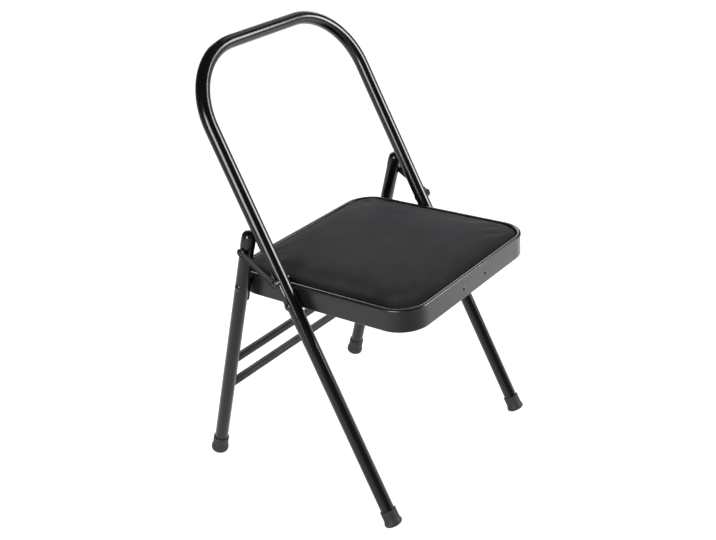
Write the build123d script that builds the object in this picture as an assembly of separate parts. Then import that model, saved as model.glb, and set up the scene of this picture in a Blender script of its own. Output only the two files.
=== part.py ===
from build123d import *
from math import cos, radians, sin, tan
import os

# Backless folding yoga chair. Millimetres and degrees.
# +X is the sitter's left, -Y the front, +Z up, and the feet stand on Z = 0.
# Every side piece is made for the left side and mirrored for the right.

# Frame tubes
TUBE_OD = 25.4
TUBE_WALL = 1.5
TUBE_R = TUBE_OD / 2

# Hoop: both front legs and the open top in one bent tube
HOOP_LEAN = 28.5
HOOP_LENGTH = 908.5
HOOP_SPREAD = 6.0
HOOP_CORNER = 128.9

# Rear legs
LEG_LEAN = -14.1
LEG_SPREAD = 3.0
LEG_ABOVE_LINK = 23.5
CROSSBAR_OD = 16.0
CROSSBAR_WALL = 1.2
UPPER_CROSSBAR_AT = 232.0
LOWER_CROSSBAR_AT = 171.4

# Pivots: place on the seat's side, and steps along the tubes to the link's ends
SEAT_PIVOT_BACK = -17.15
SEAT_PIVOT_DROP = 26.5
LEG_PIVOT_BACK = 96.28
LEG_PIVOT_DROP = 14.76
LINK_PIVOT_STEP = 47.0
LINK_END_STEP = 79.0

# Domed plastic caps on the rear legs
CAP_WALL = 0.6
CAP_DOME_R = 12.7
CAP_OVERLAP = 16.5
CAP_RISE = 3.9
CAP_SHOULDER = 5.5

# Rubber feet
FOOT_R = 16.75
FOOT_COLLAR_R = 15.0
FOOT_HEIGHT = 37.0
FOOT_BASE_HEIGHT = 12.0
FOOT_FLARE = 6.0
FOOT_ROUND = 5.0
FOOT_SOLE = 5.0
FOOT_WORN = 0.8
SOCKET_GAP = 0.05

# Rivets and their fits
RIVET_R = 4.0
RIVET_FIT = 0.05
RIVET_HEAD_R = 6.4
RIVET_HEAD = 2.2
INNER_HEAD = 2.0
INNER_HEAD_R = 5.4
TUBE_HEAD = 0.8
PLAY = 0.15
CLEAR = 0.4

# Side plates, washers and links
PIVOT_PLATE = 1.5
PIVOT_PLATE_END_R = 7.5
PIVOT_PLATE_HALF = 5.0
WASHER_R = 9.0
SPACER_R = 7.5
SEAT_WASHER = 2.5
LEG_WASHER = 4.75
LEG_PLATE = 2.5
LEG_PLATE_HALF = 8.5
LEG_PLATE_LENGTH = 31.0
LINK_PLATE = 2.5
LINK_END_R = 8.2
LINK_HALF = 6.4
LINK_RIM = 1.2
LINK_BOSS_R = 6.4

# Seat pan: pressed steel with a rolled rim and a skirt
SEAT_TILT = 3.0
SEAT_HEIGHT = 418.4
SEAT_FRONT = -256.4
SEAT_REAR = 141.1
SEAT_HALF = 204.3
SEAT_CORNER = 56.3
SHEET = 1.2
ROLL_R = 4.3
SKIRT_STEP = 1.2
SKIRT_HEIGHT = 39.6
SKIRT_HEM = 4.6
HEM_ROUND = 3.0
WEB_DEPTH = 10.0

# Upholstered pad
GROOVE = 2.5
BOARD = 9.0
BOARD_GAP = 0.2
COVER = 1.5
FOAM_INSET = 1.8
PAD_CROWN = 17.0
PAD_SHOULDER = 11.0
PAD_SHOULDER_IN = 14.0
PAD_TOP_HALF = 49.6
PAD_EDGE_STEPS = 4
PAD_CROWN_STEPS = 4

# Stiffener under the pan and the rivets that hold its ends
STIFFENER_HALF = 48.0
STIFFENER_DEPTH = 19.0
SKIRT_RIVET_X = 36.0
SKIRT_RIVET_DROP = 20.5
SKIRT_RIVET_R = 2.4
SKIRT_RIVET_HEAD_R = 4.2
SKIRT_RIVET_HEAD = 1.6

# Screws from below into the seat board
SCREW_X = 120.0
SCREW_Y = 110.0
SCREW_R = 2.0
SCREW_HEAD_R = 4.0
SCREW_HEAD = 2.2
SCREW_DEPTH = 6.0
SCREW_GAP = 0.3

BOTTOM_UP = (Align.CENTER, Align.CENTER, Align.MIN)
SIDE = Plane(origin=(0, 0, 0), x_dir=(0, 1, 0), z_dir=(1, 0, 0))


def seat_plane():
    """Plane through the centre of the rolled rim: Y rearwards and slightly down."""
    tilt = radians(SEAT_TILT)
    return Plane(origin=(0, 0, SEAT_HEIGHT), x_dir=(1, 0, 0), z_dir=(0, sin(tilt), cos(tilt)))


def leg_plane(pivot, lean):
    """Plane of one pair of legs through a pivot: X across, Y up along the legs from the floor."""
    tilt = radians(lean)
    foot_y = pivot.Y - pivot.Z * tan(tilt)
    return Plane(origin=(0, foot_y, 0), x_dir=(1, 0, 0), z_dir=(0, -cos(tilt), sin(tilt)))


SEAT = seat_plane()
SEAT_PIVOT = SEAT.from_local_coords((0, SEAT_PIVOT_BACK, -SEAT_PIVOT_DROP))
LEG_PIVOT = SEAT.from_local_coords((0, LEG_PIVOT_BACK, -LEG_PIVOT_DROP))
FRONT = leg_plane(SEAT_PIVOT, HOOP_LEAN)
REAR = leg_plane(LEG_PIVOT, LEG_LEAN)

# Places along the hoop's legs and along the rear legs
SEAT_PIVOT_AT = FRONT.to_local_coords(SEAT_PIVOT).Y
LINK_PIVOT_AT = SEAT_PIVOT_AT + LINK_PIVOT_STEP
LEG_PIVOT_AT = REAR.to_local_coords(LEG_PIVOT).Y
LINK_END_AT = LEG_PIVOT_AT + LINK_END_STEP
LEG_LENGTH = LINK_END_AT + LEG_ABOVE_LINK
LINK_PIVOT = FRONT.from_local_coords((0, LINK_PIVOT_AT, 0))
LINK_END = REAR.from_local_coords((0, LINK_END_AT, 0))


def hoop_x(along):
    """Half of the distance between the hoop's legs at a distance from the floor."""
    return HOOP_SEAT_X + HOOP_SPREAD * (SEAT_PIVOT_AT - along) / HOOP_LENGTH


def leg_x(along):
    """Half of the distance between the rear legs at a distance from the floor."""
    return LEG_SEAT_X + LEG_SPREAD * (LEG_PIVOT_AT - along) / LEG_LENGTH


# The stack of side pieces in X, from the skirt outwards
SKIRT_X = SEAT_HALF - SKIRT_STEP
HOOP_INNER_X = SKIRT_X + PLAY + SEAT_WASHER + PLAY / 2
HOOP_SEAT_X = HOOP_INNER_X + TUBE_R
HOOP_FOOT_X = hoop_x(0)
HOOP_TOP_X = hoop_x(HOOP_LENGTH)
PIVOT_PLATE_X = HOOP_SEAT_X + TUBE_R + PLAY
LINK_SEAT_X = PIVOT_PLATE_X + PIVOT_PLATE
LEG_PLATE_X = SKIRT_X + PLAY + LEG_WASHER
LEG_INNER_X = LEG_PLATE_X + LEG_PLATE + PLAY
LEG_SEAT_X = LEG_INNER_X + TUBE_R
LEG_OUTER_X = LEG_SEAT_X + TUBE_R
LEG_FOOT_X = leg_x(0)
CAP_R = TUBE_R + CAP_WALL
LINK_X = leg_x(LINK_END_AT) + CAP_R + CLEAR
LINK_FACE_X = LINK_X + LINK_PLATE

# The seat's rolled rim runs along this rounded rectangle
ROLL_HALF = SEAT_HALF - ROLL_R
ROLL_DEPTH = SEAT_REAR - SEAT_FRONT - 2 * ROLL_R
ROLL_CORNER = SEAT_CORNER - ROLL_R
SEAT_MID = (SEAT_FRONT + SEAT_REAR) / 2
SKIRT_OUT = ROLL_R - SKIRT_STEP
SKIRT_IN = SKIRT_OUT - SHEET
PAD_IN = ROLL_R + GROOVE


def across(at, radius, x_from, x_to):
    """Cylinder along X about a pivot, between two X values."""
    return Pos(x_from, at.Y, at.Z) * Rot(0, 90, 0) * Cylinder(radius, x_to - x_from, align=BOTTOM_UP)


def ring(at, radius, x_from, x_to):
    """Washer or spacer along X about a pivot, with a rivet's fit as its bore."""
    return across(at, radius, x_from, x_to) - across(at, RIVET_R + RIVET_FIT, x_from, x_to)


def dome(at, x_face, radius, height):
    """Low domed rivet head on a face that looks along +X."""
    return Pos(x_face, at.Y, at.Z) * Rot(0, 90, 0) * head_cap(radius, height)


def head_cap(radius, height):
    """Cap of a ball that stands on Z = 0 with a given radius and height."""
    ball = (radius**2 + height**2) / (2 * height)
    below = Box(4 * ball, 4 * ball, 2 * ball, align=(Align.CENTER, Align.CENTER, Align.MAX))
    return Pos(0, 0, height - ball) * Sphere(ball) - below


def mirrored(shape):
    """The same piece for the other side of the chair."""
    return mirror(shape, about=Plane.YZ)


def along_leg(plane, leg_half, start):
    """Plane whose Z runs up a leg's axis, with its origin at a distance from the floor."""
    low = plane.from_local_coords((leg_half(start), start, 0))
    high = plane.from_local_coords((leg_half(start + TUBE_OD), start + TUBE_OD, 0))
    return Plane(origin=low, z_dir=high - low)


def tube_start(lean):
    """Distance from the floor to a tube's end, so that the sole under it stays thick enough."""
    tilt = radians(abs(lean))
    return (FOOT_SOLE + TUBE_R * sin(tilt)) / cos(tilt)


def foot_bottom(lean):
    """Height of a foot's round bottom along the leg, so that wear cuts off only its lowest edge."""
    tilt = radians(abs(lean))
    return (FOOT_ROUND - FOOT_WORN + (FOOT_R - FOOT_ROUND) * sin(tilt)) / cos(tilt) - FOOT_ROUND


def foot(axis_plane, lean):
    """Rubber foot turned about the leg's axis, with a socket for the tube, flat on the floor."""
    bottom = foot_bottom(lean)
    socket = tube_start(lean)
    bore = TUBE_R + SOCKET_GAP
    lip = FOOT_COLLAR_R - bore
    flare_top = FOOT_BASE_HEIGHT + FOOT_FLARE
    with BuildPart() as part:
        with BuildSketch(Plane.XZ):
            with BuildLine():
                Line((0, bottom), (FOOT_R - FOOT_ROUND, bottom))
                corner = Line((FOOT_R, bottom + FOOT_ROUND), (FOOT_R, FOOT_BASE_HEIGHT))
                RadiusArc((FOOT_R - FOOT_ROUND, bottom), corner @ 0, -FOOT_ROUND)
                Line(corner @ 1, (FOOT_COLLAR_R, flare_top))
                Line((FOOT_COLLAR_R, flare_top), (FOOT_COLLAR_R, FOOT_HEIGHT - lip / 2))
                Line((FOOT_COLLAR_R, FOOT_HEIGHT - lip / 2), (FOOT_COLLAR_R - lip / 2, FOOT_HEIGHT))
                Polyline(
                    (FOOT_COLLAR_R - lip / 2, FOOT_HEIGHT),
                    (bore, FOOT_HEIGHT),
                    (bore, socket),
                    (0, socket),
                    (0, bottom),
                )
            make_face()
        revolve(axis=Axis.Z)
    size = 4 * FOOT_R
    floor = Box(2 * LEG_FOOT_X + size, HOOP_LENGTH * 2, size, align=(Align.CENTER, Align.CENTER, Align.MAX))
    return axis_plane.location * part.part - floor


def front_foot():
    """Foot on the hoop's left leg."""
    return foot(along_leg(FRONT, hoop_x, 0), HOOP_LEAN)


def rear_foot():
    """Foot on the left rear leg."""
    return foot(along_leg(REAR, leg_x, 0), LEG_LEAN)


def hoop():
    """Bent tube with drilled holes for the seat's and the links' rivets."""
    start = tube_start(HOOP_LEAN)
    foot_x = hoop_x(start)
    left_foot, left_top = (foot_x, start), (HOOP_TOP_X, HOOP_LENGTH)
    right_foot, right_top = (-foot_x, start), (-HOOP_TOP_X, HOOP_LENGTH)
    path = FilletPolyline(right_foot, right_top, left_top, left_foot, radius=HOOP_CORNER)
    section = Plane(path @ 0, z_dir=path % 0) * (Circle(TUBE_R) - Circle(TUBE_R - TUBE_WALL))
    tube = FRONT.location * sweep(section, path=path)
    for pivot in (SEAT_PIVOT, LINK_PIVOT):
        tube -= across(pivot, RIVET_R + RIVET_FIT, -HOOP_FOOT_X - TUBE_OD, HOOP_FOOT_X + TUBE_OD)
    return tube


def strap(first, second, end_radius, half_width):
    """Outline of a flat strap with round ends, drawn in the side plane."""
    span = Vector(second.Y - first.Y, second.Z - first.Z)
    middle = Pos((first.Y + second.Y) / 2, (first.Z + second.Z) / 2)
    turn = Rot(0, 0, Vector(1, 0).get_signed_angle(span, Vector(0, 0, 1)))
    band = middle * turn * Rectangle(span.length, 2 * half_width)
    return band + Pos(first.Y, first.Z) * Circle(end_radius) + Pos(second.Y, second.Z) * Circle(end_radius)


def side_plate(outline, x_from, thickness):
    """A side outline raised into a plate that starts at one X value."""
    return Pos(x_from, 0, 0) * extrude(SIDE * outline, thickness)


def pivot_plate():
    """Strap on the hoop's outer side that joins its two pivots."""
    outline = strap(SEAT_PIVOT, LINK_PIVOT, PIVOT_PLATE_END_R, PIVOT_PLATE_HALF)
    plate = side_plate(outline, PIVOT_PLATE_X, PIVOT_PLATE)
    for pivot in (SEAT_PIVOT, LINK_PIVOT):
        plate -= across(pivot, RIVET_R + RIVET_FIT, PIVOT_PLATE_X, LINK_SEAT_X)
    return plate


def tube_head(at, axis):
    """Thin rivet head on a tube's inner side, shaped to the tube that it grips."""
    x = axis.origin.X
    head = across(at, RIVET_HEAD_R, x - TUBE_R - TUBE_HEAD, x - TUBE_R / 2)
    return head - axis.location * Cylinder(TUBE_R, TUBE_OD * 2)


def seat_rivet():
    """Rivet through pivot plate, hoop, washer and skirt, on which the seat folds."""
    inside = SKIRT_X - SHEET - PLAY
    shank = across(SEAT_PIVOT, RIVET_R, inside - INNER_HEAD, LINK_SEAT_X)
    head = across(SEAT_PIVOT, INNER_HEAD_R, inside - INNER_HEAD, inside)
    return shank + head + dome(SEAT_PIVOT, LINK_SEAT_X, RIVET_HEAD_R, RIVET_HEAD)


def link_rivet():
    """Rivet through hoop, pivot plate, spacer and link."""
    outside = LINK_FACE_X + PLAY
    shank = across(LINK_PIVOT, RIVET_R, hoop_x(LINK_PIVOT_AT) - TUBE_R - TUBE_HEAD, outside)
    head = tube_head(LINK_PIVOT, along_leg(FRONT, hoop_x, LINK_PIVOT_AT))
    return shank + head + dome(LINK_PIVOT, outside, RIVET_HEAD_R, RIVET_HEAD)


def seat_washer():
    """Nylon washer between hoop and skirt."""
    return ring(SEAT_PIVOT, WASHER_R, SKIRT_X + PLAY, HOOP_INNER_X - PLAY / 2)


def link_spacer():
    """Spacer between pivot plate and link, as thick as the link has to stand off."""
    return ring(LINK_PIVOT, SPACER_R, LINK_SEAT_X, LINK_X - PLAY)


def link():
    """Pressed link with a raised rim, from the hoop to the rear leg's top."""
    outline = strap(LINK_PIVOT, LINK_END, LINK_END_R, LINK_HALF)
    inside = strap(LINK_PIVOT, LINK_END, LINK_END_R - LINK_RIM, LINK_HALF - LINK_RIM)
    plate = side_plate(outline, LINK_X, LINK_PLATE)
    plate += side_plate(outline - inside, LINK_FACE_X, LINK_RIM)
    for pivot in (LINK_PIVOT, LINK_END):
        plate -= across(pivot, RIVET_R + RIVET_FIT, LINK_X, LINK_FACE_X)
    return plate


def link_end_rivet():
    """Rivet at the link's rear end; its thin inner head stops just short of the leg's cap."""
    boss = across(LINK_END, LINK_BOSS_R, LINK_X - CLEAR + PLAY, LINK_X)
    shank = across(LINK_END, RIVET_R, LINK_X, LINK_FACE_X)
    return boss + shank + dome(LINK_END, LINK_FACE_X, RIVET_HEAD_R, RIVET_HEAD)


def rear_leg():
    """Straight tube with drilled holes for its seat rivet."""
    start = tube_start(LEG_LEAN)
    axis = along_leg(REAR, leg_x, start)
    length = LEG_LENGTH - start
    tube = Cylinder(TUBE_R, length, align=BOTTOM_UP) - Cylinder(TUBE_R - TUBE_WALL, length, align=BOTTOM_UP)
    hole = across(LEG_PIVOT, RIVET_R + RIVET_FIT, LEG_INNER_X - PLAY, LEG_OUTER_X + PLAY)
    return axis.location * tube - hole


def leg_cap():
    """Plastic cap pushed over the rear leg's end, with a domed top."""
    bore = TUBE_R + SOCKET_GAP
    axis = along_leg(REAR, leg_x, LEG_LENGTH)
    rim = -CAP_OVERLAP
    shoulder = CAP_RISE - CAP_SHOULDER
    centre = CAP_RISE
    with BuildPart() as part:
        with BuildSketch(Plane.XZ):
            with BuildLine():
                Polyline(
                    (0, centre + CAP_DOME_R), (0, 0), (bore, 0), (bore, rim), (CAP_R, rim),
                    (CAP_R, shoulder), (CAP_DOME_R, centre),
                )
                CenterArc((0, centre), CAP_DOME_R, 0, 90)
            make_face()
        revolve(axis=Axis.Z)
    return axis.location * part.part


def crossbar(along):
    """Thin tube between the rear legs, coped to fit them."""
    at = REAR.from_local_coords((0, along, 0))
    half = leg_x(along)
    bar = across(at, CROSSBAR_OD / 2, -half, half) - across(at, CROSSBAR_OD / 2 - CROSSBAR_WALL, -half, half)
    cope = along_leg(REAR, leg_x, along).location * Cylinder(TUBE_R, 4 * TUBE_OD)
    return bar - cope - mirrored(cope)


def skirt_fall(along):
    """How far the skirt's inner face has turned inwards at a place along the seat's side."""
    corner = SEAT_CORNER - SKIRT_STEP - SHEET
    past = max(0, along - (SEAT_REAR - SEAT_CORNER))
    return corner - (corner**2 - past**2) ** 0.5


def leg_rivet():
    """Rivet through rear leg, leg plate, washer and skirt."""
    reach = SEAT.to_local_coords(LEG_PIVOT).Y + INNER_HEAD_R
    inside = SKIRT_X - SHEET - PLAY - skirt_fall(reach)
    shank = across(LEG_PIVOT, RIVET_R, inside - INNER_HEAD, LEG_OUTER_X)
    head = across(LEG_PIVOT, INNER_HEAD_R, inside - INNER_HEAD, inside)
    outer = across(LEG_PIVOT, RIVET_HEAD_R, LEG_OUTER_X - TUBE_R / 2, LEG_OUTER_X)
    saddle = outer - along_leg(REAR, leg_x, LEG_PIVOT_AT).location * Cylinder(TUBE_R, TUBE_OD * 2)
    return shank + head + saddle + dome(LEG_PIVOT, LEG_OUTER_X, RIVET_HEAD_R, RIVET_HEAD)


def leg_washer():
    """Nylon washer between skirt and leg plate."""
    return ring(LEG_PIVOT, SPACER_R, SKIRT_X + PLAY, LEG_PLATE_X)


def leg_plate():
    """Strap on the rear leg's inner side, from the seat's pivot down past the skirt."""
    low = REAR.from_local_coords((0, LEG_PIVOT_AT - LEG_PLATE_LENGTH, 0))
    outline = strap(LEG_PIVOT, low, LEG_PLATE_HALF, LEG_PLATE_HALF)
    plate = side_plate(outline, LEG_PLATE_X, LEG_PLATE)
    return plate - across(LEG_PIVOT, RIVET_R + RIVET_FIT, LEG_PLATE_X, LEG_PLATE_X + LEG_PLATE)


def rim_section():
    """Section of skirt, rolled rim and inner wall: X outwards from the roll's centre, Y up."""
    hem_start = SKIRT_OUT - SKIRT_HEM
    bottom = -SKIRT_HEIGHT
    inner_r = ROLL_R - SHEET
    outer_meet = -((ROLL_R**2 - SKIRT_OUT**2) ** 0.5)
    inner_meet = -((inner_r**2 - SKIRT_IN**2) ** 0.5)
    web = -WEB_DEPTH
    slant = sin(radians(45))
    with BuildSketch() as section:
        with BuildLine():
            Polyline((hem_start, bottom + SHEET), (hem_start, bottom), (SKIRT_OUT - HEM_ROUND, bottom))
            RadiusArc((SKIRT_OUT - HEM_ROUND, bottom), (SKIRT_OUT, bottom + HEM_ROUND), -HEM_ROUND)
            Line((SKIRT_OUT, bottom + HEM_ROUND), (SKIRT_OUT, outer_meet))
            ThreePointArc((SKIRT_OUT, outer_meet), (ROLL_R, 0), (0, ROLL_R))
            ThreePointArc((0, ROLL_R), (-ROLL_R * slant, ROLL_R * slant), (-ROLL_R, 0))
            Polyline(
                (-ROLL_R, 0), (-ROLL_R, web), (-PAD_IN - GROOVE, web), (-PAD_IN - GROOVE, web - SHEET),
                (-inner_r, web - SHEET), (-inner_r, 0),
            )
            ThreePointArc((-inner_r, 0), (-inner_r * slant, inner_r * slant), (0, inner_r))
            ThreePointArc((0, inner_r), (inner_r, 0), (SKIRT_IN, inner_meet))
            Line((SKIRT_IN, inner_meet), (SKIRT_IN, bottom + HEM_ROUND))
            hem = (SKIRT_OUT - HEM_ROUND, bottom + SHEET)
            RadiusArc((SKIRT_IN, bottom + HEM_ROUND), hem, HEM_ROUND - SHEET)
            Line(hem, (hem_start, bottom + SHEET))
        make_face()
    return section.sketch


def rounded(half_width, depth, corner, height):
    """Rounded rectangle at a height above the rim's plane, centred on the seat."""
    return Pos(0, SEAT_MID, height) * RectangleRounded(2 * half_width, depth, corner)


def seat_pan():
    """Pressed pan: rim swept round the seat, a web across it, and the holes."""
    path = rounded(ROLL_HALF, ROLL_DEPTH, ROLL_CORNER, 0).wire()
    start = path @ 0
    tangent = path % 0
    outward = tangent.cross(Vector(0, 0, 1))
    if outward.dot(start - Vector(0, SEAT_MID, 0)) < 0:
        outward = outward * -1
    frame = Plane(origin=start, x_dir=outward, z_dir=outward.cross(Vector(0, 0, 1)))
    pan = sweep(frame * rim_section(), path=path)
    inset = PAD_IN
    web = rounded(ROLL_HALF - inset, ROLL_DEPTH - 2 * inset, ROLL_CORNER - inset, -WEB_DEPTH - SHEET)
    pan = pan + extrude(web, SHEET)
    for x, y in screw_places():
        pan -= Pos(x, y, -WEB_DEPTH - SHEET) * Cylinder(SCREW_R + SCREW_GAP, SHEET, align=BOTTOM_UP)
    for x, y, turn in skirt_rivet_places():
        pan -= Pos(x, y, -SKIRT_RIVET_DROP) * Rot(90 * turn, 0, 0) * Cylinder(SKIRT_RIVET_R, 4 * SHEET)
    pan = SEAT.location * pan
    for pivot in (SEAT_PIVOT, LEG_PIVOT):
        hole = across(pivot, RIVET_R + RIVET_FIT, SKIRT_X - SHEET - SKIRT_HEM, SEAT_HALF)
        pan = pan - hole - mirrored(hole)
    return pan


def pad_profile(inset):
    """Rise and draw-in of the pad's top, from its edge over the round shoulder to the crown."""
    shoulder = PAD_SHOULDER - inset
    crown = PAD_CROWN - inset
    top_in = min(ROLL_HALF, ROLL_DEPTH / 2) - PAD_IN - PAD_TOP_HALF
    steps = []
    for step in range(PAD_EDGE_STEPS + 1):
        turn = radians(90 * step / PAD_EDGE_STEPS)
        steps.append((shoulder * sin(turn), PAD_SHOULDER_IN * (1 - cos(turn))))
    for step in range(1, PAD_CROWN_STEPS + 1):
        share = step / PAD_CROWN_STEPS
        rise = shoulder + (crown - shoulder) * (1 - (1 - share) ** 2)
        steps.append((rise, PAD_SHOULDER_IN + (top_in - PAD_SHOULDER_IN) * share))
    return steps


def pad_form(inset):
    """The pad's outer form, or the same form moved inwards: straight edge and a crowned top."""
    half = ROLL_HALF - PAD_IN - inset
    depth = ROLL_DEPTH - 2 * PAD_IN - 2 * inset
    corner = ROLL_CORNER - PAD_IN - inset
    base = -WEB_DEPTH
    edge = base + BOARD
    sections = []
    for rise, draw_in in pad_profile(inset):
        sections.append(rounded(half - draw_in, depth - 2 * draw_in, corner, edge + rise).face())
    return extrude(rounded(half, depth, corner, base), BOARD) + loft(sections, ruled=True)


def cushion_cover():
    """Fabric cover over foam and board, open below."""
    return SEAT.location * (pad_form(0) - pad_form(COVER))


def foam_pad():
    """Foam between board and cover."""
    top = -WEB_DEPTH + BOARD
    below = Box(4 * SEAT_HALF, 4 * SEAT_HALF, SEAT_HALF, align=(Align.CENTER, Align.CENTER, Align.MAX))
    return SEAT.location * (pad_form(FOAM_INSET) - Pos(0, 0, top) * below)


def seat_board():
    """Plywood board on the pan's web, with pilot holes for its screws."""
    inset = PAD_IN + COVER + BOARD_GAP
    outline = rounded(ROLL_HALF - inset, ROLL_DEPTH - 2 * inset, ROLL_CORNER - inset, -WEB_DEPTH)
    board = extrude(outline, BOARD)
    for x, y in screw_places():
        board -= Pos(x, y, -WEB_DEPTH) * Cylinder(SCREW_R, SCREW_DEPTH, align=BOTTOM_UP)
    return SEAT.location * board


def screw_places():
    """Where the four screws go through the web."""
    return [(x, SEAT_MID + y) for x in (-SCREW_X, SCREW_X) for y in (-SCREW_Y, SCREW_Y)]


def board_screws():
    """Four screws from below the web into the board."""
    under = -WEB_DEPTH - SHEET
    screw = Pos(0, 0, under) * Cylinder(SCREW_R, SHEET + SCREW_DEPTH, align=BOTTOM_UP)
    screw += Pos(0, 0, under - SCREW_HEAD) * Cylinder(SCREW_HEAD_R, SCREW_HEAD, align=BOTTOM_UP)
    return [SEAT.location * Pos(x, y, 0) * screw for x, y in screw_places()]


def stiffener():
    """Shallow tray under the web from the front skirt to the rear skirt."""
    length = ROLL_DEPTH + 2 * SKIRT_IN
    top = -WEB_DEPTH - SHEET
    tray = Pos(0, SEAT_MID, top) * Box(
        2 * STIFFENER_HALF, length, STIFFENER_DEPTH, align=(Align.CENTER, Align.CENTER, Align.MAX)
    )
    tray -= Pos(0, SEAT_MID, top) * Box(
        2 * (STIFFENER_HALF - SHEET),
        length - 2 * SHEET,
        STIFFENER_DEPTH - SHEET,
        align=(Align.CENTER, Align.CENTER, Align.MAX),
    )
    for x, y, turn in skirt_rivet_places():
        tray -= Pos(x, y, -SKIRT_RIVET_DROP) * Rot(90 * turn, 0, 0) * Cylinder(SKIRT_RIVET_R, 4 * SHEET)
    return SEAT.location * tray


def skirt_rivet_places():
    """X, Y and outward side of the rivets in the front and rear skirt."""
    reach = ROLL_DEPTH / 2 + SKIRT_IN
    places = []
    for x in (-SKIRT_RIVET_X, SKIRT_RIVET_X):
        places.append((x, SEAT_MID - reach, 1))
        places.append((x, SEAT_MID + reach, -1))
    return places


def skirt_rivets():
    """Rivets that hold the stiffener's ends to the front and rear skirt."""
    head = Pos(0, 0, SHEET) * head_cap(SKIRT_RIVET_HEAD_R, SKIRT_RIVET_HEAD)
    rivet = head + Pos(0, 0, -2 * SHEET) * Cylinder(SKIRT_RIVET_R, 3 * SHEET, align=BOTTOM_UP)
    rivet += Pos(0, 0, -2 * SHEET) * Cylinder(SKIRT_RIVET_HEAD_R, SHEET, align=BOTTOM_UP)
    return [
        SEAT.location * Pos(x, y, -SKIRT_RIVET_DROP) * Rot(90 * turn, 0, 0) * rivet
        for x, y, turn in skirt_rivet_places()
    ]


def nodes():
    """Every node's solids by name, before the chair is centred over its origin."""
    pieces = {
        "hoop": [hoop()],
        "upper_crossbar": [crossbar(UPPER_CROSSBAR_AT)],
        "lower_crossbar": [crossbar(LOWER_CROSSBAR_AT)],
        "seat_pan": [seat_pan()],
        "stiffener": [stiffener()],
        "skirt_rivets": skirt_rivets(),
        "board_screws": board_screws(),
        "seat_board": [seat_board()],
        "foam_pad": [foam_pad()],
        "cushion_cover": [cushion_cover()],
    }
    paired = {
        "pivot_plate": pivot_plate,
        "front_foot": front_foot,
        "seat_rivet": seat_rivet,
        "seat_washer": seat_washer,
        "link_rivet": link_rivet,
        "link_spacer": link_spacer,
        "link": link,
        "link_end_rivet": link_end_rivet,
        "rear_leg": rear_leg,
        "leg_cap": leg_cap,
        "rear_foot": rear_foot,
        "leg_rivet": leg_rivet,
        "leg_washer": leg_washer,
        "leg_plate": leg_plate,
    }
    for name, make in paired.items():
        piece = make()
        pieces[name + "_left"] = [piece]
        pieces[name + "_right"] = [mirrored(piece)]
    return pieces


def centre_shift(pieces):
    """Move along Y that puts the middle of the chair's length over the origin."""
    boxes = [solid.bounding_box() for solids in pieces.values() for solid in solids]
    front = min(box.min.Y for box in boxes)
    rear = max(box.max.Y for box in boxes)
    return -(front + rear) / 2


def main():
    os.makedirs("parts", exist_ok=True)
    pieces = nodes()
    shift = centre_shift(pieces)
    for name, solids in pieces.items():
        placed = [solid for piece in solids for solid in (Pos(0, shift, 0) * piece).solids()]
        shape = placed[0] if len(placed) == 1 else Compound(children=placed)
        export_step(shape, f"parts/{name}.step")
    print("moved along Y by", round(shift, 4))


if __name__ == "__main__":
    main()
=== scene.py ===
from math import cos, radians, sin

import bmesh
import bpy
from bpy.props import FloatProperty, FloatVectorProperty, PointerProperty, StringProperty
from bpy.types import Operator, Panel, PropertyGroup
from mathutils import Matrix, Vector


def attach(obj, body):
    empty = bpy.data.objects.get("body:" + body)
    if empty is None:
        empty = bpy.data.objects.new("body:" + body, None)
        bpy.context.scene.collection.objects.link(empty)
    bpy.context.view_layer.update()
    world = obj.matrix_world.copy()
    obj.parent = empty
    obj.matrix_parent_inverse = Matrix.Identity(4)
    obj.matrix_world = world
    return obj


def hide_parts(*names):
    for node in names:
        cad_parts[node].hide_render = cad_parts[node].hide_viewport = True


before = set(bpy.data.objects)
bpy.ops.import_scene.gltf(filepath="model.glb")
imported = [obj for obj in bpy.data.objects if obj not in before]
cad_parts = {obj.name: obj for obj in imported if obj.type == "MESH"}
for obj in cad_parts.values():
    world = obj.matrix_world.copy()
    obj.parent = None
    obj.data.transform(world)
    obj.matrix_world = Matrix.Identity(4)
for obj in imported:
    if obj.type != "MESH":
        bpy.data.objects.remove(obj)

bl_info = {
    "name": "Backless yoga chair",
    "version": (1, 0, 0),
    "blender": (4, 5, 0),
    "location": "View3D > Sidebar > Chair",
    "description": "Finishes and soft parts of a folding chair with an open hoop",
    "category": "Object",
}

MM = 0.001
SIDES = ("left", "right")
# Places closer together than this are one point of a CAD mesh
WELD = 0.01 * MM
# Edges that turn more than this stay sharp on the smooth tubes
SHARP_ANGLE = radians(32.0)
# Tubes that are shown smooth, by the body that carries them
TUBES = {
    "front_frame": ("hoop",),
    "rear_frame": ("rear_leg_left", "rear_leg_right", "upper_crossbar", "lower_crossbar"),
}
# The seat leans back by this many degrees, and its pad is worked on along that direction
SEAT_TILT = 3.0
SEAT_UP = Vector((0.0, sin(radians(SEAT_TILT)), cos(radians(SEAT_TILT))))
# Part of the pad below this height over its lower edge is its foot
PAD_FOOT = 0.1 * MM
# The pad's block reaches this far below the pan's floor until it is cut flat
PAD_SPARE = 8.0 * MM
# The block is this much wider than the cover, so that the fabric hides the board's edge
PAD_EASE = 1.006
CLOTH_FRAMES = 20
SMOOTH_STEPS = 12
# The floor's glow to the eye, its own grey, and the world's strength as a lamp
FLOOR_GLOW = 0.85
PAPER_GREY = 0.32
WORLD_LAMP = 0.45
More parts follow.
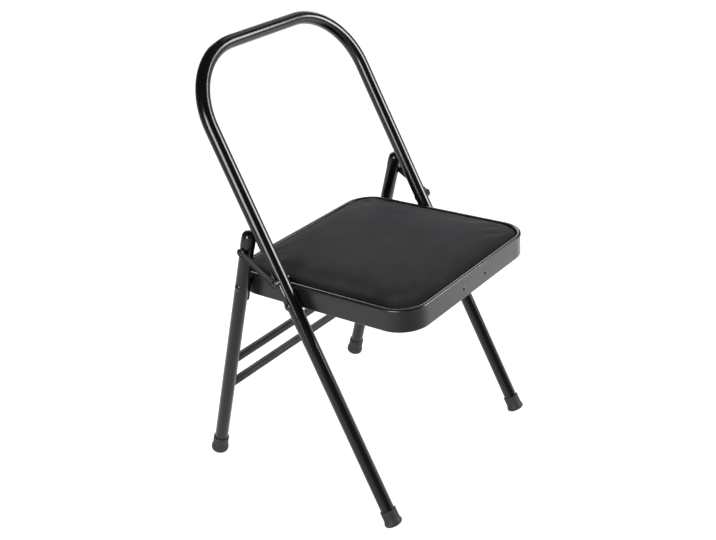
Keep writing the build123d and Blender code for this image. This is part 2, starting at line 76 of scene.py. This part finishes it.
# Name, place and target in metres, width and height in metres, power in watts
LAMPS = (
    ("right_softbox", (1.6, -2.0, 1.5), (0.0, 0.0, 0.7), 1.15, 1.1, 66.0),
    ("left_softbox", (-2.46, -0.42, 1.2), (0.0, 0.0, 0.6), 1.1, 1.4, 56.0),
    ("top_softbox", (1.9, 0.3, 2.4), (0.0, 0.0, 0.6), 1.5, 1.5, 6.0),
    ("rear_softbox", (0.95, 0.82, 1.08), (0.0, 0.0, 0.42), 1.3, 0.7, 11.0),
)
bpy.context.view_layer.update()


def srgb(code):
    """Turns an sRGB hex colour into Blender's linear colour."""
    parts = [int(code[start:start + 2], 16) / 255 for start in (0, 2, 4)]
    linear = [p / 12.92 if p <= 0.04045 else ((p + 0.055) / 1.055) ** 2.4 for p in parts]
    return (*linear, 1.0)


def add(tree, kind, links=None, **settings):
    """Adds a node, sets its settings and sockets, and links sockets by name."""
    node = tree.nodes.new(kind)
    for name, value in settings.items():
        if hasattr(node, name):
            setattr(node, name, value)
        else:
            node.inputs[name.replace("_", " ")].default_value = value
    for name, source in (links or {}).items():
        key = int(name) if name.isdigit() else name
        tree.links.new(source, node.inputs[key])
    return node


def material(name):
    """An empty node material and its output."""
    made = bpy.data.materials.new(name)
    made.use_nodes = True
    made.node_tree.nodes.clear()
    return made, made.node_tree


def ramp(tree, source, stops):
    """Colour ramp between the given places and colours."""
    node = add(tree, "ShaderNodeValToRGB", {"Fac": source})
    elements = node.color_ramp.elements
    while len(elements) < len(stops):
        elements.new(0.5)
    for element, (place, colour) in zip(elements, stops):
        element.position = place
        element.color = colour
    return node.outputs["Color"]


def grey(value):
    """A grey for ramps that carry numbers."""
    return (value, value, value, 1.0)


def object_place(tree):
    """Object coordinates, in metres in the chair's own frame."""
    return add(tree, "ShaderNodeTexCoord").outputs["Object"]


def noise_of(tree, place, size_mm, detail=2.0):
    """Noise whose blotches are about size_mm across."""
    node = add(tree, "ShaderNodeTexNoise", {"Vector": place}, Scale=1000 / size_mm, Detail=detail)
    return node.outputs["Fac"]


def bump_of(tree, height, strength, depth_mm):
    """Bump from a height pattern of a real depth."""
    node = add(tree, "ShaderNodeBump", {"Height": height}, Strength=strength, Distance=depth_mm * MM)
    return node.outputs["Normal"]


def close(tree, shader):
    """Links the shader to the material's output."""
    add(tree, "ShaderNodeOutputMaterial", {"Surface": shader.outputs[0]})


def painted_steel(name, colour, roughness, peel_mm=1.6, peel_depth=0.004):
    """Powder coat on steel: sprayed and baked, so it has a faint orange peel under an even gloss."""
    made, tree = material(name)
    place = object_place(tree)
    peel = noise_of(tree, place, peel_mm, 1.0)
    # Handling leaves the gloss a little duller in hand-sized patches
    handling = noise_of(tree, place, 55.0, 3.0)
    rough = ramp(tree, handling, ((0.3, grey(roughness)), (0.75, grey(roughness * 1.35))))
    shader = add(
        tree,
        "ShaderNodeBsdfPrincipled",
        {"Roughness": rough, "Normal": bump_of(tree, peel, 0.35, peel_depth)},
        Base_Color=srgb(colour),
        IOR=1.5,
    )
    close(tree, shader)
    return made


def moulded_rubber(name, colour):
    """Moulded rubber: matt and slightly dusty, with a fine grain from the mould."""
    made, tree = material(name)
    place = object_place(tree)
    dust = ramp(tree, noise_of(tree, place, 7.0, 4.0), ((0.35, srgb(colour)), (0.8, srgb("2e2d2c"))))
    shader = add(
        tree,
        "ShaderNodeBsdfPrincipled",
        {"Base Color": dust, "Normal": bump_of(tree, noise_of(tree, place, 0.7), 0.5, 0.02)},
        Roughness=0.62,
        IOR=1.52,
    )
    close(tree, shader)
    return made


def moulded_plastic(name, colour, roughness):
    """Moulded polyethylene: smooth and waxy, with a soft wide highlight."""
    made, tree = material(name)
    place = object_place(tree)
    shader = add(
        tree,
        "ShaderNodeBsdfPrincipled",
        {"Normal": bump_of(tree, noise_of(tree, place, 1.2), 0.25, 0.006)},
        Base_Color=srgb(colour),
        Roughness=roughness,
        IOR=1.5,
    )
    close(tree, shader)
    return made


def zinc_plate(name):
    """Bright zinc on small screws: a cool grey metal with a slightly cloudy plating."""
    made, tree = material(name)
    place = object_place(tree)
    cloud = ramp(tree, noise_of(tree, place, 2.0, 3.0), ((0.3, srgb("a9adb0")), (0.8, srgb("c9cbcc"))))
    shader = add(tree, "ShaderNodeBsdfPrincipled", {"Base Color": cloud}, Metallic=1.0, Roughness=0.32)
    close(tree, shader)
    return made


def plywood(name):
    """Poplar plywood: pale rotary-cut grain that runs along the seat."""
    made, tree = material(name)
    place = object_place(tree)
    stretched = add(tree, "ShaderNodeMapping", {"Vector": place}, Scale=(1.0, 0.06, 1.0)).outputs["Vector"]
    grain = noise_of(tree, stretched, 5.0, 5.0)
    tone = ramp(tree, grain, ((0.3, srgb("9a7a52")), (0.7, srgb("c6a678"))))
    shader = add(
        tree,
        "ShaderNodeBsdfPrincipled",
        {"Base Color": tone, "Normal": bump_of(tree, grain, 0.3, 0.05)},
        Roughness=0.7,
    )
    close(tree, shader)
    return made


def brushed_suede(name, dark, light):
    """Microfibre suede: a short brushed nap that lies in soft clouds and shines faintly at its edge."""
    made, tree = material(name)
    place = object_place(tree)
    cloud = noise_of(tree, place, 70.0, 3.0)
    # The real fibres are about 0.05 mm thick; tufts and fibres are drawn coarser, so that they show
    nap = noise_of(tree, place, 1.3, 6.0)
    fibre = noise_of(tree, place, 0.5, 2.0)
    mixed = add(tree, "ShaderNodeMath", {"0": cloud, "1": nap}, operation="MULTIPLY").outputs[0]
    tone = ramp(tree, mixed, ((0.14, srgb(dark)), (0.40, srgb(light))))
    soft = bump_of(tree, nap, 0.6, 0.12)
    fine = add(tree, "ShaderNodeBump", {"Height": fibre, "Normal": soft}, Strength=0.5, Distance=0.06 * MM)
    shader = add(
        tree,
        "ShaderNodeBsdfPrincipled",
        {"Base Color": tone, "Normal": fine.outputs["Normal"]},
        Roughness=0.95,
        Sheen_Weight=0.14,
        Sheen_Roughness=0.45,
        IOR=1.4,
    )
    shader.inputs["Sheen Tint"].default_value = srgb("b9b9bf")
    shader.inputs["Specular IOR Level"].default_value = 0.2
    close(tree, shader)
    return made


def dress(names, made):
    """Gives CAD nodes a material."""
    for name in names:
        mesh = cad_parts[name].data
        mesh.materials.clear()
        mesh.materials.append(made)


def both(*names):
    """A piece's left and right node names."""
    return [f"{name}_{side}" for name in names for side in SIDES]


def smooth_copy(name):
    """Copy of a CAD node's mesh with its triangles joined and shaded smooth between its sharp edges."""
    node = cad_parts[name]
    shape = bmesh.new()
    shape.from_mesh(node.data)
    bmesh.ops.remove_doubles(shape, verts=shape.verts, dist=WELD)
    for face in shape.faces:
        face.smooth = True
    for edge in shape.edges:
        edge.smooth = edge.is_manifold and edge.calc_face_angle() < SHARP_ANGLE
    mesh = bpy.data.meshes.new(f"smooth_{name}")
    shape.to_mesh(mesh)
    shape.free()
    mesh.materials.append(node.data.materials[0])
    made = bpy.data.objects.new(f"smooth_{name}", mesh)
    bpy.context.scene.collection.objects.link(made)
    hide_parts(name)
    return made


class ChairSizes(PropertyGroup):
    """Sizes of the pad and its fabric."""

    pad_start: FloatProperty(
        name="Start inset",
        description="How much smaller the pad starts before it swells",
        default=0.2 * MM,
        unit="LENGTH",
    )
    pad_cap: FloatProperty(
        name="Swell cap",
        description="Most that a point of the pad may move",
        default=2.0 * MM,
        unit="LENGTH",
    )
    pad_pressure: FloatProperty(
        name="Pressure",
        description="Air pressure in the cloth simulation",
        default=4.0,
    )
    pad_voxel: FloatProperty(
        name="Voxel",
        description="Size of the remesh under the simulation",
        default=5.0 * MM,
        unit="LENGTH",
    )
    pad_seat: FloatProperty(
        name="Held side",
        description="Height of the pad's straight side that stays fast on the board",
        default=10.5 * MM,
        unit="LENGTH",
    )


class ChairColours(PropertyGroup):
    """Colours of the chair's finishes as sRGB hex values."""

    tube: StringProperty(name="Tube", description="Gloss powder coat on the tubes", default="060607")
    pan: StringProperty(name="Pan", description="Semi-gloss powder coat on the seat pan", default="151517")
    # The links' coat is a lighter grey than the tubes' gloss coat
    link: StringProperty(name="Link", description="Lighter powder coat on the folding links", default="1c1c1e")
    rivet: StringProperty(name="Rivet", description="Paint on the rivets' heads", default="0c0c0d")
    rubber: StringProperty(name="Rubber", description="Moulded rubber of the feet", default="161616")
    cap: StringProperty(name="Cap", description="Plastic caps on the rear legs", default="0b0b0c")
    washer: StringProperty(name="Washer", description="Nylon washers and spacers", default="141415")
    fabric_dark: StringProperty(name="Fabric shade", description="Nap that lies away", default="111113")
    fabric_light: StringProperty(name="Fabric light", description="Nap that stands up", default="202022")


class ChairStage(PropertyGroup):
    """Camera and light."""

    azimuth: FloatProperty(name="Azimuth", description="Direction round the chair, degrees", default=-52.511)
    elevation: FloatProperty(name="Elevation", description="Angle above the horizon, degrees", default=27.131)
    roll: FloatProperty(name="Roll", description="Turn about the line of sight, degrees", default=-2.027)
    lens: FloatProperty(name="Lens", description="Focal length on a 36 mm sensor, in mm", default=55.815)
    place: FloatVectorProperty(
        name="Camera place",
        description="Where the camera stands",
        default=(-1.496935, -1.123426, 1.326583),
        unit="LENGTH",
    )


class CHAIR_OT_steel(Operator):
    """Finish the tubes, plates, links, rivets and the seat pan"""

    bl_idname = "chair.steel"
    bl_label = "Painted steel"

    def execute(self, context):
        colours = context.scene.chair_colours
        gloss = painted_steel("gloss_powder_coat", colours.tube, roughness=0.16)
        semi_gloss = painted_steel("semi_gloss_powder_coat", colours.pan, roughness=0.25)
        satin = painted_steel("satin_powder_coat", colours.tube, roughness=0.45)
        # The links get a lighter grey and a duller gloss than the tubes
        lighter_coat = painted_steel("lighter_gloss_powder_coat", colours.link, roughness=0.3)
        rivets = painted_steel("painted_rivet", colours.rivet, roughness=0.2, peel_mm=0.9)
        dress(["hoop"] + both("pivot_plate", "rear_leg", "leg_plate"), gloss)
        dress(["upper_crossbar", "lower_crossbar"], satin)
        dress(both("link"), lighter_coat)
        dress(["seat_pan", "stiffener"], semi_gloss)
        dress(both("seat_rivet", "link_rivet", "link_end_rivet", "leg_rivet") + ["skirt_rivets"], rivets)
        for body, names in TUBES.items():
            for name in names:
                tube = smooth_copy(name)
                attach(tube, body)
        return {"FINISHED"}


class CHAIR_OT_plastics(Operator):
    """Finish the feet, the caps and the washers"""

    bl_idname = "chair.plastics"
    bl_label = "Rubber and plastic"

    def execute(self, context):
        colours = context.scene.chair_colours
        rubber = moulded_rubber("moulded_rubber", colours.rubber)
        polyethylene = moulded_plastic("moulded_polyethylene", colours.cap, roughness=0.15)
        nylon = moulded_plastic("cast_nylon", colours.washer, roughness=0.45)
        dress(both("front_foot", "rear_foot"), rubber)
        dress(both("leg_cap"), polyethylene)
        dress(both("seat_washer", "leg_washer", "link_spacer"), nylon)
        return {"FINISHED"}


class CHAIR_OT_underside(Operator):
    """Finish the seat board and its screws"""

    bl_idname = "chair.underside"
    bl_label = "Board and screws"

    def execute(self, context):
        dress(["seat_board"], plywood("poplar_plywood"))
        dress(["board_screws"], zinc_plate("bright_zinc"))
        return {"FINISHED"}


def apply_modifiers(made):
    """Bakes an object's modifiers into its mesh."""
    depsgraph = bpy.context.evaluated_depsgraph_get()
    mesh = bpy.data.meshes.new_from_object(made.evaluated_get(depsgraph))
    made.modifiers.clear()
    old = made.data
    made.data = mesh
    bpy.data.meshes.remove(old)


def pad_block(name, node):
    """Closed block with the outer form of the pad's cover, which is convex."""
    shape = bmesh.new()
    shape.from_mesh(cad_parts[node].data)
    bmesh.ops.remove_doubles(shape, verts=shape.verts, dist=WELD)
    hull = bmesh.ops.convex_hull(shape, input=shape.verts)
    spare = hull["geom_interior"] + hull["geom_unused"]
    inner = {item for item in spare if isinstance(item, bmesh.types.BMVert)}
    bmesh.ops.delete(shape, geom=list(inner), context="VERTS")
    skin = {item for item in hull["geom"] if isinstance(item, bmesh.types.BMFace)}
    stale = [face for face in shape.faces if face not in skin]
    bmesh.ops.delete(shape, geom=stale, context="FACES")
    bmesh.ops.recalc_face_normals(shape, faces=shape.faces)
    heights = seat_height([point.co for point in shape.verts])
    foot = [point for point, height in zip(shape.verts, heights) if height < PAD_FOOT]
    bmesh.ops.translate(shape, verts=foot, vec=-SEAT_UP * PAD_SPARE)
    middle = sum((point.co for point in shape.verts), Vector()) / len(shape.verts)
    ease = (PAD_EASE, PAD_EASE, 1.0)
    bmesh.ops.scale(shape, vec=ease, space=Matrix.Translation(-middle), verts=shape.verts)
    mesh = bpy.data.meshes.new(name)
    shape.to_mesh(mesh)
    shape.free()
    made = bpy.data.objects.new(name, mesh)
    bpy.context.scene.collection.objects.link(made)
    return made


def remeshed(made, voxel):
    """Even quads over a closed block, for the simulation."""
    modifier = made.modifiers.new("remesh", "REMESH")
    modifier.mode = "VOXEL"
    modifier.voxel_size = voxel
    apply_modifiers(made)


def seat_foot():
    """Level of the pad's lower edge along the seat's own upward direction."""
    return min(point.co.dot(SEAT_UP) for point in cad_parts["cushion_cover"].data.vertices)


def seat_height(at):
    """Heights over the pad's lower edge."""
    level = seat_foot()
    return [point.dot(SEAT_UP) - level for point in at]


def swell(made, sizes):
    """Inflates the pad a little as cloth, with its side held fast on the board and its movement capped."""
    places = [vertex.co.copy() for vertex in made.data.vertices]
    normals = [vertex.normal.copy() for vertex in made.data.vertices]
    heights = seat_height(places)
    for vertex, place, normal, height in zip(made.data.vertices, places, normals, heights):
        if height > sizes.pad_seat:
            vertex.co = place - normal * sizes.pad_start
    held = made.vertex_groups.new(name="held")
    fast = [index for index, height in enumerate(heights) if height <= sizes.pad_seat]
    held.add(fast, 1.0, "REPLACE")
    cloth = made.modifiers.new("cloth", "CLOTH")
    cloth.settings.quality = 5
    cloth.settings.use_pressure = True
    cloth.settings.uniform_pressure_force = sizes.pad_pressure
    cloth.settings.effector_weights.gravity = 0.0
    cloth.settings.vertex_group_mass = held.name
    cloth.collision_settings.use_collision = False
    cloth.point_cache.frame_start = 1
    cloth.point_cache.frame_end = CLOTH_FRAMES
    for step in range(1, CLOTH_FRAMES + 1):
        bpy.context.scene.frame_set(step)
    apply_modifiers(made)
    made.vertex_groups.clear()
    starts = [place - normal * sizes.pad_start if height > sizes.pad_seat else place
              for place, normal, height in zip(places, normals, heights)]
    for vertex, start in zip(made.data.vertices, starts):
        move = vertex.co - start
        if move.length > sizes.pad_cap:
            vertex.co = start + move.normalized() * sizes.pad_cap
    bpy.context.scene.frame_set(1)


def smoothed(made, held):
    """Subdivides the simulated pad once, draws it tight, shades it smooth and cuts it flat on the pan."""
    modifier = made.modifiers.new("finish", "SUBSURF")
    modifier.levels = 1
    modifier.render_levels = 1
    apply_modifiers(made)
    shape = bmesh.new()
    shape.from_mesh(made.data)
    for face in shape.faces:
        face.smooth = True
    heights = seat_height([point.co for point in shape.verts])
    free = [point for point, height in zip(shape.verts, heights) if height > held]
    for _ in range(SMOOTH_STEPS):
        bmesh.ops.smooth_vert(
            shape, verts=free, factor=0.5, use_axis_x=True, use_axis_y=True, use_axis_z=True
        )
    everything = shape.verts[:] + shape.edges[:] + shape.faces[:]
    cut = bmesh.ops.bisect_plane(
        shape, geom=everything, plane_co=SEAT_UP * seat_foot(), plane_no=SEAT_UP, clear_inner=True
    )
    edges = [item for item in cut["geom_cut"] if isinstance(item, bmesh.types.BMEdge)]
    base = bmesh.ops.contextual_create(shape, geom=edges)["faces"]
    for face in base:
        face.smooth = False
    bmesh.ops.triangulate(shape, faces=base)
    bmesh.ops.recalc_face_normals(shape, faces=shape.faces)
    shape.to_mesh(made.data)
    shape.free()


class CHAIR_OT_cushion(Operator):
    """Make the upholstered pad: suede drawn tight over foam and tucked into the pan"""

    bl_idname = "chair.cushion"
    bl_label = "Cushion"

    def execute(self, context):
        sizes = context.scene.chair_sizes
        colours = context.scene.chair_colours
        cushion = pad_block("cushion", "cushion_cover")
        remeshed(cushion, sizes.pad_voxel)
        swell(cushion, sizes)
        smoothed(cushion, sizes.pad_seat)
        fabric = brushed_suede("microfibre_suede", colours.fabric_dark, colours.fabric_light)
        cushion.data.materials.append(fabric)
        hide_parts("cushion_cover", "foam_pad")
        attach(cushion, "seat")
        return {"FINISHED"}


class CHAIR_OT_stage(Operator):
    """Set the floor, the light, the world and the camera"""

    bl_idname = "chair.stage"
    bl_label = "Stage"

    def execute(self, context):
        stage = context.scene.chair_stage
        floor_plane()
        studio_world()
        for lamp in LAMPS:
            softbox(*lamp)
        photograph_camera(stage)
        context.scene.view_settings.view_transform = "Standard"
        return {"FINISHED"}


def reach(tree, place, centre):
    """Distance of a place from a centre, in metres."""
    away = add(tree, "ShaderNodeVectorMath", {"0": place}, operation="DISTANCE")
    away.inputs[1].default_value = centre
    return away.outputs["Value"]


def faded(tree, value, start, end, first, last):
    """Value that runs smoothly from first at the start to last at the end."""
    node = add(tree, "ShaderNodeMapRange", {"Value": value}, interpolation_type="SMOOTHSTEP")
    for socket, number in (("From Min", start), ("From Max", end), ("To Min", first), ("To Max", last)):
        node.inputs[socket].default_value = number
    return node.outputs["Result"]


def floor_plane():
    """White studio floor that shows the backdrop's white to the eye, keeps a faint shadow, and shows painted
    light and shade in reflections.
    """
    mesh = bpy.data.meshes.new("floor")
    shape = bmesh.new()
    bmesh.ops.create_grid(shape, x_segments=1, y_segments=1, size=12.0)
    shape.to_mesh(mesh)
    shape.free()
    floor = bpy.data.objects.new("floor", mesh)
    bpy.context.scene.collection.objects.link(floor)
    made, tree = material("white_paper_floor")
    seen = add(tree, "ShaderNodeLightPath")
    place = object_place(tree)
    # In reflections alone the paper glows with painted light and shade: a painted pool of light under
    # the chair, painted shade in front of its near corner, and a painted bright patch on the right for the
    # big softbox's light
    painted_light_pool = faded(tree, reach(tree, place, (0.0, 0.0, 0.0)), start=0.25, end=3.2, first=0.6, last=0.2)
    shade = faded(tree, reach(tree, place, (-0.6, -0.9, 0.0)), start=0.2, end=1.3, first=0.15, last=1.25)
    painted_bright_patch = faded(tree, reach(tree, place, (1.3, -1.1, 0.0)), start=0.4, end=1.5, first=2.2, last=1.0)
    painted_light_and_shade = add(tree, "ShaderNodeMath", {"0": shade, "1": painted_bright_patch}, operation="MULTIPLY").outputs[0]
    painted_reflection_light = add(tree, "ShaderNodeMath", {"0": painted_light_pool, "1": painted_light_and_shade}, operation="MULTIPLY").outputs[0]
    glossy = seen.outputs["Is Glossy Ray"]
    # Painted reflection: the painted light and shade glow only for glossy rays
    mirrored = add(tree, "ShaderNodeMath", {"0": glossy, "1": painted_reflection_light}, operation="MULTIPLY")
    glow = add(
        tree,
        "ShaderNodeMath",
        {"0": seen.outputs["Is Camera Ray"], "2": mirrored.outputs[0]},
        operation="MULTIPLY_ADD",
    )
    glow.inputs[1].default_value = FLOOR_GLOW
    light = add(tree, "ShaderNodeEmission", {"Strength": glow.outputs[0]}, Color=grey(1.0))
    paper = add(tree, "ShaderNodeBsdfDiffuse", Color=grey(PAPER_GREY))
    both_shaders = add(tree, "ShaderNodeAddShader", {"0": light.outputs[0], "1": paper.outputs[0]})
    close(tree, both_shaders)
    mesh.materials.append(made)


def studio_world():
    """White to the eye, a dark studio to reflections, and dim as a lamp."""
    world = bpy.data.worlds.new("studio")
    bpy.context.scene.world = world
    world.use_nodes = True
    tree = world.node_tree
    tree.nodes.clear()
    seen = add(tree, "ShaderNodeLightPath")
    place = add(tree, "ShaderNodeTexCoord").outputs["Generated"]
    height = add(tree, "ShaderNodeSeparateXYZ", {"Vector": place}).outputs["Z"]
    # Reflections see a pale wall low on the right and a dark room elsewhere
    near_wall = faded(tree, reach(tree, place, (0.8, -0.6, 0.0)), start=0.2, end=0.75, first=0.8, last=0.0)
    low = faded(tree, height, start=0.12, end=0.4, first=1.0, last=0.0)
    wall = add(tree, "ShaderNodeMath", {"0": near_wall, "1": low}, operation="MULTIPLY").outputs[0]
    dark = faded(tree, height, start=0.0, end=0.5, first=0.16, last=0.06)
    mirror_tone = add(tree, "ShaderNodeMath", {"0": wall, "1": dark}, operation="ADD").outputs[0]
    lamp = add(tree, "ShaderNodeBackground", Color=grey(1.0), Strength=WORLD_LAMP)
    mirrored_back = add(tree, "ShaderNodeBackground", {"Color": mirror_tone}, Strength=1.0)
    white = add(tree, "ShaderNodeBackground", Color=grey(1.0), Strength=1.0)
    glossy = add(
        tree,
        "ShaderNodeMixShader",
        {"Fac": seen.outputs["Is Glossy Ray"], "1": lamp.outputs[0], "2": mirrored_back.outputs[0]},
    )
    shown = add(
        tree,
        "ShaderNodeMixShader",
        {"Fac": seen.outputs["Is Camera Ray"], "1": glossy.outputs[0], "2": white.outputs[0]},
    )
    add(tree, "ShaderNodeOutputWorld", {"Surface": shown.outputs[0]})


def softbox(name, place, target, width, height, power):
    """Rectangular area lamp that points at a target."""
    lamp = bpy.data.lights.new(name, "AREA")
    lamp.shape = "RECTANGLE"
    lamp.size = width
    lamp.size_y = height
    lamp.energy = power
    made = bpy.data.objects.new(name, lamp)
    made.location = place
    made.rotation_euler = (Vector(target) - Vector(place)).to_track_quat("-Z", "Y").to_euler()
    made.visible_camera = False
    bpy.context.scene.collection.objects.link(made)


def photograph_camera(stage):
    """Camera at the photograph's viewing angle."""
    turn, lift, roll = radians(stage.azimuth), radians(stage.elevation), radians(stage.roll)
    back = Vector((sin(turn) * cos(lift), -cos(turn) * cos(lift), sin(lift)))
    right = Vector((cos(turn), sin(turn), 0.0))
    up = back.cross(right)
    rolled_right = right * cos(roll) + up * sin(roll)
    rolled_up = up * cos(roll) - right * sin(roll)
    data = bpy.data.cameras.new("photograph")
    data.sensor_width = 36.0
    data.lens = stage.lens
    camera = bpy.data.objects.new("photograph", data)
    camera.matrix_world = Matrix.Translation(Vector(stage.place)) @ Matrix(
        (rolled_right, rolled_up, back)
    ).transposed().to_4x4()
    bpy.context.scene.collection.objects.link(camera)
    bpy.context.scene.camera = camera


class CHAIR_PT_panel(Panel):
    """Lists the chair's sizes, colours and steps"""

    bl_idname = "CHAIR_PT_panel"
    bl_label = "Backless yoga chair"
    bl_space_type = "VIEW_3D"
    bl_region_type = "UI"
    bl_category = "Chair"

    def draw(self, context):
        layout = self.layout
        for group in (context.scene.chair_sizes, context.scene.chair_colours, context.scene.chair_stage):
            for name in group.__annotations__:
                layout.prop(group, name)
        for step in STEPS:
            layout.operator(step.bl_idname)


GROUPS = {"chair_sizes": ChairSizes, "chair_colours": ChairColours, "chair_stage": ChairStage}
STEPS = (CHAIR_OT_steel, CHAIR_OT_plastics, CHAIR_OT_underside, CHAIR_OT_cushion, CHAIR_OT_stage)


def register():
    """Registers the classes and hangs their settings on the scene."""
    for name, group in GROUPS.items():
        bpy.utils.register_class(group)
        setattr(bpy.types.Scene, name, PointerProperty(type=group))
    for step in STEPS:
        bpy.utils.register_class(step)
    bpy.utils.register_class(CHAIR_PT_panel)


def unregister():
    """Takes the classes and their settings away again."""
    bpy.utils.unregister_class(CHAIR_PT_panel)
    for step in reversed(STEPS):
        bpy.utils.unregister_class(step)
    for name, group in GROUPS.items():
        delattr(bpy.types.Scene, name)
        bpy.utils.unregister_class(group)


def main():
    """Makes the whole chair."""
    register()
    bpy.ops.chair.steel()
    bpy.ops.chair.plastics()
    bpy.ops.chair.underside()
    bpy.ops.chair.cushion()
    bpy.ops.chair.stage()


if __name__ == "__main__":
    main()
